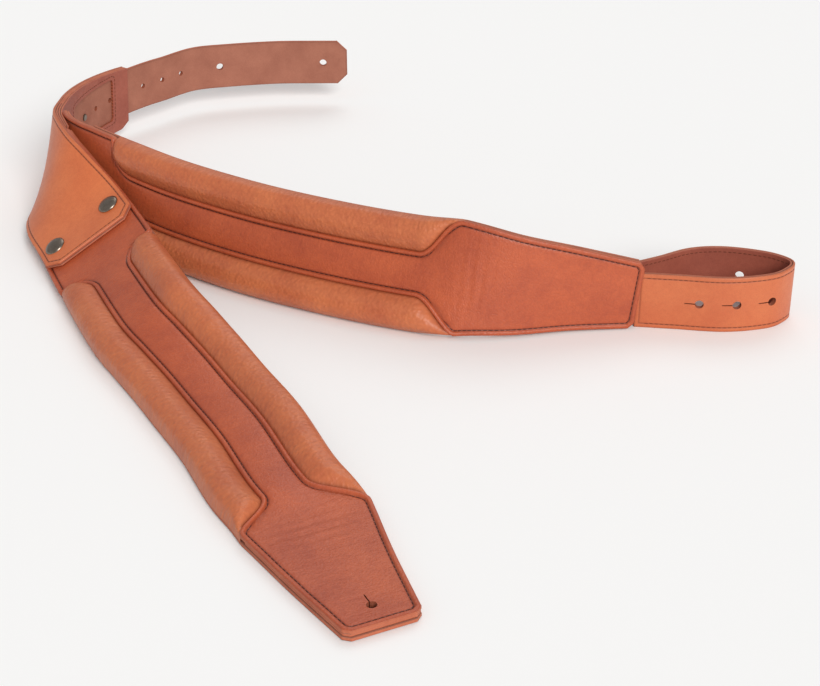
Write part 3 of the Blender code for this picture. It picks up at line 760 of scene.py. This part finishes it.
def punch(piece, route, outlines, low, high, inner):
    """Cut holes with the given (s, t) outlines through a piece and apply the cut."""
    points, faces = [], []
    for outline in outlines:
        block, sides = prism(route, outline, low, high)
        base = len(points)
        points.extend(tuple(p) for p in block)
        faces.extend(tuple(base + k for k in face) for face in sides)
    mesh = bpy.data.meshes.new(piece.name + "_cut")
    mesh.from_pydata(points, [], faces)
    mesh.uv_layers.new(name="st")
    mesh.uv_layers.new(name="tone")
    mesh.materials.append(inner)
    body = linked(piece.name + "_cut", mesh)
    change = piece.modifiers.new("cut", "BOOLEAN")
    change.operation = "DIFFERENCE"
    change.solver = "EXACT"
    change.object = body
    if hasattr(change, "material_mode"):
        change.material_mode = "TRANSFER"
    graph = bpy.context.evaluated_depsgraph_get()
    result = bpy.data.meshes.new_from_object(piece.evaluated_get(graph), preserve_all_data_layers=True,
                                             depsgraph=graph)
    piece.modifiers.clear()
    old = piece.data
    piece.data = result
    bpy.data.meshes.remove(old)
    bpy.data.objects.remove(body, do_unlink=True)
    result.shade_smooth()
    result.set_sharp_from_angle(angle=SHARP_EDGE)


def circle(s, radius, sides=28):
    """Round hole on a route's line."""
    angles = np.linspace(0, 2 * math.pi, sides, endpoint=False)
    return np.stack((s + radius * np.cos(angles), radius * np.sin(angles)), 1)


def keyhole(s, radius=KEYHOLE_RADIUS, slit=KEYHOLE_SLIT, width=0.9, sides=28):
    """Round hole on a route's line, with a narrow slit that starts at its low side."""
    gap = math.asin(width / 2 / radius)
    angles = np.linspace(gap, 2 * math.pi - gap, sides)
    points = [(radius * math.cos(a), radius * math.sin(a)) for a in angles]
    points += [(radius + slit, -width / 2), (radius + slit, width / 2)]
    return (np.array(points) * (-1, 1))[::-1] + (s, 0.0)


# ---------------------------------------------------------------- yoke and flap

def yoke_edges(s, inset=0.0):
    """How far the yoke reaches below and above its line."""
    below = np.minimum(line(s, 20.0, 190.0, KEEPER_BELOW, YOKE_HALF), 29.0 + s * 0.6)
    above = line(s, 0.0, 190.0, KEEPER_ABOVE, YOKE_HALF)
    return tuple(clipped(edge, s, FLAP_END, FLAP_CORNER) - inset for edge in (below, above))


CLOSE_STEPS = (0.5, 1.2, 2, 2.8, 3.4, 4, 4.6, 5.5, 7)
LEAST_STEP = 0.18


def near(marks, values):
    """Values of s with extra ones close to each mark."""
    steps = (*(-d for d in CLOSE_STEPS), 0, *CLOSE_STEPS)
    close = [m + d for m in marks for d in steps]
    low, high = values[0], values[-1]
    merged = sorted(set(np.round([v for v in list(values) + close if low <= v <= high], 3)))
    kept = [merged[0]]
    for value in merged[1:]:
        if value - kept[-1] > LEAST_STEP:
            kept.append(value)
    kept[-1] = high
    return np.array(kept)


EDGE_COLUMNS = columns_for((0, 0.2, 0.6, 1.2, 1.9, 2.6, 3.1, 3.5, 3.9, 4.3, 4.8, 5.6, 7.5), 11)


def plain_slab(name, route, low, high, half, layer, materials, relief, marks=(), step=3.0, seam=None):
    """Leather sheet over a layer, with a face shaped by relief(e, s, t) at distance e from its edge."""
    front, back = layer
    outline = closed_outline(low, high, half)
    places = near((low, high, *marks), np.arange(low, high + step / 2, step).clip(low, high))
    spans = [EDGE_COLUMNS(*map(float, edges_at(half, np.array(s)))) for s in places]

    def face(s, t):
        return front + relief(edge_distance(s, t, outline), s, t)

    def rear(s, t):
        return back + rounded(edge_distance(s, t, outline), 0.5)

    # Painted shade on the front face, in the stitch groove and along the edge, when given
    def tone(s, t):
        e = edge_distance(s, t, outline)
        return np.zeros_like(e) if seam is None else seam(e)
    return slab(name, route, places, spans, face, rear, materials, tone), outline, face


def groove_and_edge_shade(at, strength, width=0.8, edge=0.25):
    """Painted shade in the stitch groove at distance at from the edge, and along the edge itself."""
    def tone(e):
        return strength * np.exp(-((e - at) / width) ** 2) + edge * np.exp(-(e / 1.0) ** 2)
    return tone


def flat_relief(e, s, t):
    """Flat face with a rounded edge and a shallow seam."""
    return -rounded(e, 0.8) - 0.35 * np.exp(-((e - SEAM_INSET) / 0.6) ** 2)


def edge_only(e, s, t):
    return -rounded(e, 0.5)


def crease_points(route, middle):
    """Places where the bend across a route starts and ends."""
    return {"start": route.place(middle - BEND_REACH), "end": route.place(middle + BEND_REACH)}


def window_outline(corner=4.0, corner_points=6, spacing=3):
    """Rounded rectangle of the window over the tongue, as evenly spaced (s, t) points."""
    low, high = WINDOW
    far = WINDOW_HALF - corner
    bends = []
    for s, t, start in ((high - corner, far, 0), (low + corner, far, 90),
                        (low + corner, -far, 180), (high - corner, -far, 270)):
        for angle in np.radians(np.linspace(start, start + 90, corner_points)):
            bends.append((s + corner * math.cos(angle), t + corner * math.sin(angle)))
    dense = []
    for a, b in zip(bends, bends[1:] + bends[:1]):
        count = max(1, int(math.dist(a, b) // spacing))
        dense += [tuple(np.array(a) + (np.array(b) - np.array(a)) * k / count) for k in range(count)]
    return np.array(dense)


def make_yoke():
    # The yoke's face carries painted shade in its stitch groove and along its edge
    outer, outline, face = plain_slab("yoke_shell", LEFT, 0.0, FLAP_END, yoke_edges, YOKE_OUTER,
                                      (YOKE, EDGE, SUEDE), flat_relief, (FLAP_END - FLAP_CORNER,),
                                      seam=groove_and_edge_shade(SEAM_INSET, 0.7, 0.6, 0.2))
    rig.replaces(outer, "yoke_outer", "snap_flap")
    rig.slot(outer, "orange_leather")
    paths = inset_path(outline, SEAM_INSET, lambda s, t: s > -1)
    seams = stitches("yoke_stitches", LEFT, paths, face, 4.2, 3.1, 0.8, TAN_THREAD)
    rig.slot(seams, "orange_leather")

    backing, _, _ = plain_slab("flap_backing", LEFT, POCKET_END, FLAP_END, lambda s: yoke_edges(s, 0.3),
                               FLAP_BACKING, (SUEDE, EDGE, LINING), edge_only, (FLAP_END - FLAP_CORNER,))
    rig.replaces(backing, "flap_lining")
    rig.slot(backing, "brown_leather")
    for piece in (outer, seams, backing):
        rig.blend(piece, "yoke", "flap", **crease_points(LEFT, FLAP_CREASE))

    lining, _, _ = plain_slab("yoke_inner", LEFT, 0.0, LINING_END, yoke_edges, YOKE_INNER,
                              (SUEDE, EDGE, LINING), edge_only)
    ring = window_outline()
    punch(lining, LEFT, [ring], -6.0, 0.0, EDGE)
    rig.replaces(lining, "yoke_lining")
    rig.slot(lining, "brown_leather")
    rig.ride(lining, "yoke")
    from_centre = ring - ring.mean(axis=0)
    grown = ring + 3.2 * np.sign(from_centre) * (np.abs(from_centre) > (40.0, 17.0))
    loop = np.vstack((grown, grown[:1]))
    inner_stitches = stitches("window_stitches", LEFT, [loop],
                              lambda s, t: np.full_like(s, YOKE_INNER[1] - 0.05), 4.0, 2.9, 0.8, TAN_THREAD)
    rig.slot(inner_stitches, "brown_leather")
    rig.ride(inner_stitches, "yoke")

    places = np.arange(0.0, POCKET_END + 1.5, 3.0).clip(0, POCKET_END)
    for label, side in SIDES:
        spans = []
        for s in places:
            near_side = TONGUE_HALF + 0.6
            far_side = max(float(yoke_edges(np.array(s), 0.2)[side > 0]), near_side + 0.4)
            spans.append(np.linspace(near_side, far_side, 5) if side > 0
                         else np.linspace(-far_side, -near_side, 5))
        strip = slab("pocket_side_" + label, LEFT, places, spans,
                     lambda s, t: np.full_like(s, POCKET_SIDE[0]),
                     lambda s, t: np.full_like(s, POCKET_SIDE[1]), (SUEDE, EDGE, SUEDE))
        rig.slot(strip, "brown_leather")
        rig.ride(strip, "yoke")
    block, _, _ = plain_slab("pocket_end", LEFT, POCKET_END, LINING_END, lambda s: yoke_edges(s, 0.2),
                             POCKET_BLOCK, (SUEDE, EDGE, SUEDE), edge_only)
    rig.slot(block, "brown_leather")
    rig.ride(block, "yoke")


# ---------------------------------------------------------------- snaps

# Profile of a snap's cap as (radius, height) points
SNAP_CAP = ((0, 2.1), (2.2, 2.1), (2.2, 4.5), (8.4, 4.5), (8.95, 4.75), (9.1, 5.2), (8.9, 5.7), (8.4, 6.2),
            (7.6, 6.75), (6.6, 7.2), (5.4, 7.6), (4.0, 7.9), (2.4, 8.1), (1.1, 8.18), (0, 8.2))


def turned(name, matrix, profile, item, sides=48):
    """Solid of revolution from (radius, height) points, in millimetres."""
    vertices, faces = [], []
    rings = []
    for radius, height in profile:
        if radius == 0:
            rings.append([len(vertices)])
            vertices.append(matrix @ Vector((0, 0, height * MM)))
            continue
        rings.append(list(range(len(vertices), len(vertices) + sides)))
        for k in range(sides):
            a = 2 * math.pi * k / sides
            point = Vector((radius * math.cos(a), radius * math.sin(a), height))
            vertices.append(matrix @ (point * MM))
    for a, b in zip(rings, rings[1:]):
        for k in range(sides):
            j = (k + 1) % sides
            if len(a) == 1:
                faces.append((a[0], b[j], b[k]))
            elif len(b) == 1:
                faces.append((a[k], a[j], b[0]))
            else:
                faces.append((a[k], a[j], b[j], b[k]))
    mesh = bpy.data.meshes.new(name)
    mesh.from_pydata([tuple(v) for v in vertices], [], faces)
    mesh.materials.append(item)
    mesh.shade_smooth()
    mesh.set_sharp_from_angle(angle=math.radians(40))
    return linked(name, mesh)


def make_snaps():
    """Domed caps, and metal for the fittings that stay as the CAD has them."""
    for label, side in SIDES:
        place = LEFT.frame(SNAP_PLACE, side * SNAP_OFFSET, 0.0)
        piece = turned("snap_dome_" + label, place, SNAP_CAP, METAL)
        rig.replaces(piece, "snap_cap_" + label)
        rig.slot(piece, "snap_metal")
        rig.ride(piece, "flap")
    for name, node in frame["nodes"].items():
        if name.startswith(("snap_", "lock_screw")) and not node.hide_render:
            node.data.materials.clear()
            node.data.materials.append(METAL)


# ---------------------------------------------------------------- tail

def make_tail():
    def half(s):
        return clipped(TONGUE_HALF, s, TAIL.length, TAIL_CORNER)

    def relief(e, s, t):
        return -rounded(e, 0.7) + 0.08 * drift(s, t, 60.0, 3)

    # Painted shade darkens the tail's face along its edge
    strap, _, _ = plain_slab("tail_strap", TAIL, 0.0, TAIL.length, half, TONGUE, (SUEDE, EDGE, YOKE), relief,
                             (TAIL.length - TAIL_CORNER,), seam=groove_and_edge_shade(0.0, 0.0, edge=0.35))
    holes = [circle(s, LOCK_HOLE_RADIUS) for s in LOCK_HOLES]
    holes += [circle(s, BUTTON_HOLE_RADIUS) for s in TAIL_HOLES]
    punch(strap, TAIL, holes, -4.0, 4.0, EDGE)
    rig.replaces(strap, "tail_tongue")
    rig.slot(strap, "brown_leather")
    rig.ride(strap, "tail")


# ---------------------------------------------------------------- pads

class Pad:
    """Outlines and surfaces of one shoulder pad. Its ridges run between two places along its route."""

    def __init__(self, name, route, low, flex, ridges, tip_half, seed):
        self.name = name
        self.route = route
        self.low = low
        self.flex = flex
        self.start, self.end = ridges
        self.tip_half = tip_half
        self.seed = seed

    def outline(self, s):
        """Half width of the whole pad, from its neck to its tip."""
        tip = self.route.length
        half = line(s, self.end, tip, PAD_HALF, self.tip_half)
        half = np.minimum(half, line(s, self.low, self.flex, YOKE_HALF, PAD_HALF))
        return clipped(half, s, tip, 4.0)

    def panel(self, s):
        """Half width of the face leather, with a scallop at both ends of the ridges."""
        s = np.asarray(s, float)
        corner = 4.0
        turn = PAD_HALF - corner
        rounding = turn + np.sqrt(np.clip(corner ** 2 - (s - self.start + corner) ** 2, 0.0, None))
        x = np.clip((s - self.start) / SCALLOP_START, 0.0, 1.0)
        scoop = turn - (turn - CHANNEL_HALF) * np.sqrt(np.clip(1 - (1 - x) ** 2, 0.0, None))
        rise = CHANNEL_HALF + (PAD_HALF - CHANNEL_HALF) * ramp(s, self.end - SCALLOP_END, self.end)
        half = np.where(s < self.start - corner, np.inf, np.where(s < self.start, rounding, scoop))
        half = np.where(s > self.end - SCALLOP_END, rise, half)
        return np.minimum(self.outline(s), half)

    def face(self, s, t, e):
        """Height of the face leather: crowned channel, turned edge, uneven tip and buckles at its root."""
        crown = 2.0 * (1 - np.clip(np.abs(t) / CHANNEL_HALF, 0, 1) ** 2)
        crown *= ramp(s, self.start, self.start + 40) * (1 - ramp(s, self.end - 40, self.end))
        tip = ramp(s, self.end - 10, self.end + 12)
        roll = lip(e, 1.7, 3.4, PAD_SEAM_INSET, 0.9)
        n = PAD_FACE[0] + crown + roll * (1 - 0.5 * tip)
        n += 0.30 * tip * drift(s, t, 38.0, self.seed)
        buckle = np.exp(-((s - self.end - 14.0) / 14.0) ** 2) * np.exp(-(t / 26.0) ** 2)
        n += 0.45 * buckle * np.sin(s * 0.75 + 0.4 * np.sin(t * 0.2))
        return n

    def make(self, hole=None):
        route, name = self.route, self.name
        outline = closed_outline(self.low, route.length, self.panel, 0.4)
        marks = (self.low, route.length, self.start - 2, self.start, self.start + 3, route.length - 4)
        places = near(marks, np.arange(self.low, route.length, 2.4))
        places = np.append(places, route.length) if places[-1] < route.length else places
        spans = [EDGE_COLUMNS(-float(self.panel(s)), float(self.panel(s))) for s in places]

        def face(s, t):
            return self.face(s, t, edge_distance(s, t, outline))

        def rear(s, t):
            return np.full_like(s, PAD_FACE[1])

        # Painted shade in the stitch groove and along the edge where the face's lip lies over the ridges
        def tone(s, t):
            e = edge_distance(s, t, outline)
            return 0.85 * np.exp(-((e - PAD_SEAM_INSET) / 0.6) ** 2) + 0.2 * np.exp(-(e / 0.7) ** 2)

        panel = slab(name + "_face", route, places, spans, face, rear, (FACE, EDGE, SUEDE), tone)
        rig.replaces(panel, name + "_front_panel", name + "_neck_front")
        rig.slot(panel, "red_leather")
        paths = inset_path(outline, PAD_SEAM_INSET, lambda s, t: s > self.low + 5)
        seams = stitches(name + "_stitches", route, paths, face, 4.3, 3.3, 0.95, DARK_THREAD)
        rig.slot(seams, "red_leather")

        def core_half(s):
            inside = ramp(s, self.start - 6, self.start) * (1 - ramp(s, self.end, self.end + 6))
            return self.outline(s) - 0.4 - 1.5 * inside

        core, _, _ = plain_slab(name + "_middle", route, self.low, route.length - 0.6, core_half, PAD_CORE,
                                (SUEDE, EDGE, SUEDE), edge_only, step=4.0)
        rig.replaces(core, name + "_core", name + "_neck_back", *(["loop_anchor"] if name == "pad_b" else []))
        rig.slot(core, "brown_leather")

        rear_panel, _, _ = plain_slab(name + "_back", route, self.flex + 1.8, route.length,
                                      lambda s: self.outline(s) + 0.2, PAD_BACK, (SUEDE, EDGE, BACK),
                                      lambda e, s, t: -rounded(e, 0.4), step=4.0)
        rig.replaces(rear_panel, name + "_back_panel")
        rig.slot(rear_panel, "brown_leather")
        if hole is not None:
            for piece in (panel, core, rear_panel):
                punch(piece, route, [hole], -12.0, 6.0, EDGE)
        for piece in (panel, seams, core):
            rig.blend(piece, "yoke", name, **crease_points(route, self.flex))
        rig.ride(rear_panel, name)
        for label, side in SIDES:
            self.ridge(label, side)

    def ridge(self, label, side):
        """Foam-filled roll under grained leather."""
        route = self.route
        first, last = self.start + 0.4, self.end + 1.0
        places = near((first, last), np.arange(first, last, 2.0))
        rows = 24
        v = np.linspace(0, 1, rows + 1)
        inner = np.minimum(self.panel(np.clip(places + 2.0, None, self.end - 8)), self.panel(places)) - 2.0
        inner = np.minimum(inner, 43.0)
        outer = np.full_like(places, PAD_HALF + 0.3)
        ease = np.clip(np.minimum((places - first) / 10.0, (last - places) / 24.0), 0.0, 1.0)
        swell = np.sqrt(np.clip(1 - (1 - ease) ** 2, 0.0, 1.0))
        height = 10.2 * np.clip((outer - inner) / 29.0, 0.02, 1.0) ** 0.6 * swell
        t = inner[:, None] + (outer - inner)[:, None] * v[None]
        s = np.repeat(places[:, None], rows + 1, axis=1)
        peak = 0.52
        rising = np.sin(math.pi / 2 * np.clip(v / peak, 0.0, 1.0)) ** 0.95
        falling = (1 - np.clip((v - peak) / (1 - peak), 0.0, 1.0) ** 2.6) ** 0.6
        bulge = np.where(v < peak, rising, falling)
        base = -2.45 - 2.6 * ramp(v, 0.86, 1.0)
        top = base[None] + height[:, None] * bulge[None]
        top = top + 0.22 * drift(s, t, 46.0, self.seed + side) * bulge[None]
        bottom = np.broadcast_to(base[None] - 0.05, top.shape)
        # Painted shade: a dark line along the roll's inner side, where it runs under the face's lip
        seam = 0.5 * np.exp(-((t - inner[:, None] - 2.0) / 1.3) ** 2)
        order = slice(None) if side > 0 else slice(None, None, -1)
        t, top, bottom, seam = (values[:, order] for values in (side * t, top, bottom, seam))
        piece = slab(self.name + "_roll_" + label, route, places, list(t), lambda a, b: top,
                     lambda a, b: bottom, (RIDGE, RIDGE, SUEDE), lambda a, b: seam)
        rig.replaces(piece, f"{self.name}_ridge_{label}", f"{self.name}_foam_{label}")
        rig.slot(piece, "grained_leather")
        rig.padded(piece, 0.75)
        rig.ride(piece, self.name)


# ---------------------------------------------------------------- front loop

def make_loop():
    def half(s):
        return clipped(TONGUE_HALF, s, LOOP.length, LOOP_CORNER)

    holes = [keyhole(s) for s in LOOP_HOLES] + [circle(LOOP_BACK_HOLE, BUTTON_HOLE_RADIUS)]
    specs = (("loop_band", "loop_outer", "orange_leather", LOOP_BAND, (BAND, EDGE, SUEDE), flat_relief),
             ("loop_inner", "loop_lining", "brown_leather", LOOP_INNER, (SUEDE, EDGE, LINING), edge_only))
    for name, node, slot, layer, items, relief in specs:
        # Both layers of the loop carry painted shade in the stitch groove and along the edge
        piece, outline, face = plain_slab(name, LOOP, -6.0, LOOP.length, half, layer, items, relief,
                                          (LOOP.length - LOOP_CORNER,),
                                          seam=groove_and_edge_shade(SEAM_INSET, 0.5, 0.6, 0.2))
        punch(piece, LOOP, holes, -4.0, 5.0, EDGE)
        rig.replaces(piece, node)
        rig.slot(piece, slot)
        if layer is LOOP_INNER:
            def face(s, t):
                return np.full_like(s, LOOP_INNER[1] - 0.05)
        paths = inset_path(outline, SEAM_INSET, lambda s, t: s > 1)
        seams = stitches(name + "_stitches", LOOP, paths, face, 4.0, 2.9, 0.75, TAN_THREAD)
        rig.slot(seams, slot)
        for part in (piece, seams):
            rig.blend(part, "pad_b", "loop", start=LOOP.place(-2.0), end=LOOP.place(9.0))


make_yoke()
make_snaps()
make_tail()
pad_a = Pad("pad_a", LEFT, NECK_A_START, FLEX_A, RIDGES_A, TIP_HALF_A, seed=11)
pad_a.make(hole=keyhole(LEFT.length - TIP_HOLE_INSET))
pad_b = Pad("pad_b", RIGHT, NECK_B_START, FLEX_B, RIDGES_B, TIP_HALF_B, seed=29)
pad_b.make()
make_loop()


# ---------------------------------------------------------------- stage

def make_stage():
    mesh = bpy.data.meshes.new("floor")
    mesh.from_pydata([(-6, -4, 0), (6, -4, 0), (6, 9, 0), (-6, 9, 0)], [], [(0, 1, 2, 3)])
    floor = linked("floor", mesh)
    shader = Shader("pale_floor")
    shader.set(Base_Color=(0.92, 0.92, 0.92, 1.0), Roughness=0.9, Specular_IOR_Level=0.1)
    mesh.materials.append(shader.material)
    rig.stage(floor)

    world = bpy.data.worlds.new("studio")
    world.use_nodes = True
    background = world.node_tree.nodes["Background"]
    background.inputs["Color"].default_value = (1.0, 1.0, 1.0, 1.0)
    background.inputs["Strength"].default_value = 0.46
    bpy.context.scene.world = world

    def sun(name, position, strength, softness, colour=(1.0, 1.0, 1.0)):
        """Soft light from the direction of a position, even all over the floor."""
        light = bpy.data.lights.new(name, "SUN")
        light.energy = strength
        light.angle = math.radians(softness)
        light.color = colour
        made = linked(name, light)
        made.rotation_euler = (-Vector(position)).to_track_quat("-Z", "Y").to_euler()

    sun("key", (0.75, -1.9, 1.25), 2.4, 26.0, (1.0, 0.985, 0.96))
    sun("back", (0.3, 1.2, 1.5), 0.6, 40.0)

    camera = linked("camera", bpy.data.cameras.new("camera"))
    camera.data.lens = 74.63
    camera.data.clip_start = 0.01
    camera.location = (0.0179, -1.2367, 0.612)
    camera.rotation_euler = (math.radians(62.0), 0.0, 0.0)
    bpy.context.scene.camera = camera
    bpy.context.scene.view_settings.view_transform = "Standard"


make_stage()

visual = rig.bounds()
with open("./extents.json", "w") as out:
    json.dump({"cad": [[float(v) for v in corner] for corner in CAD_BOX],
               "visual": [[float(v) for v in corner] for corner in visual]}, out)
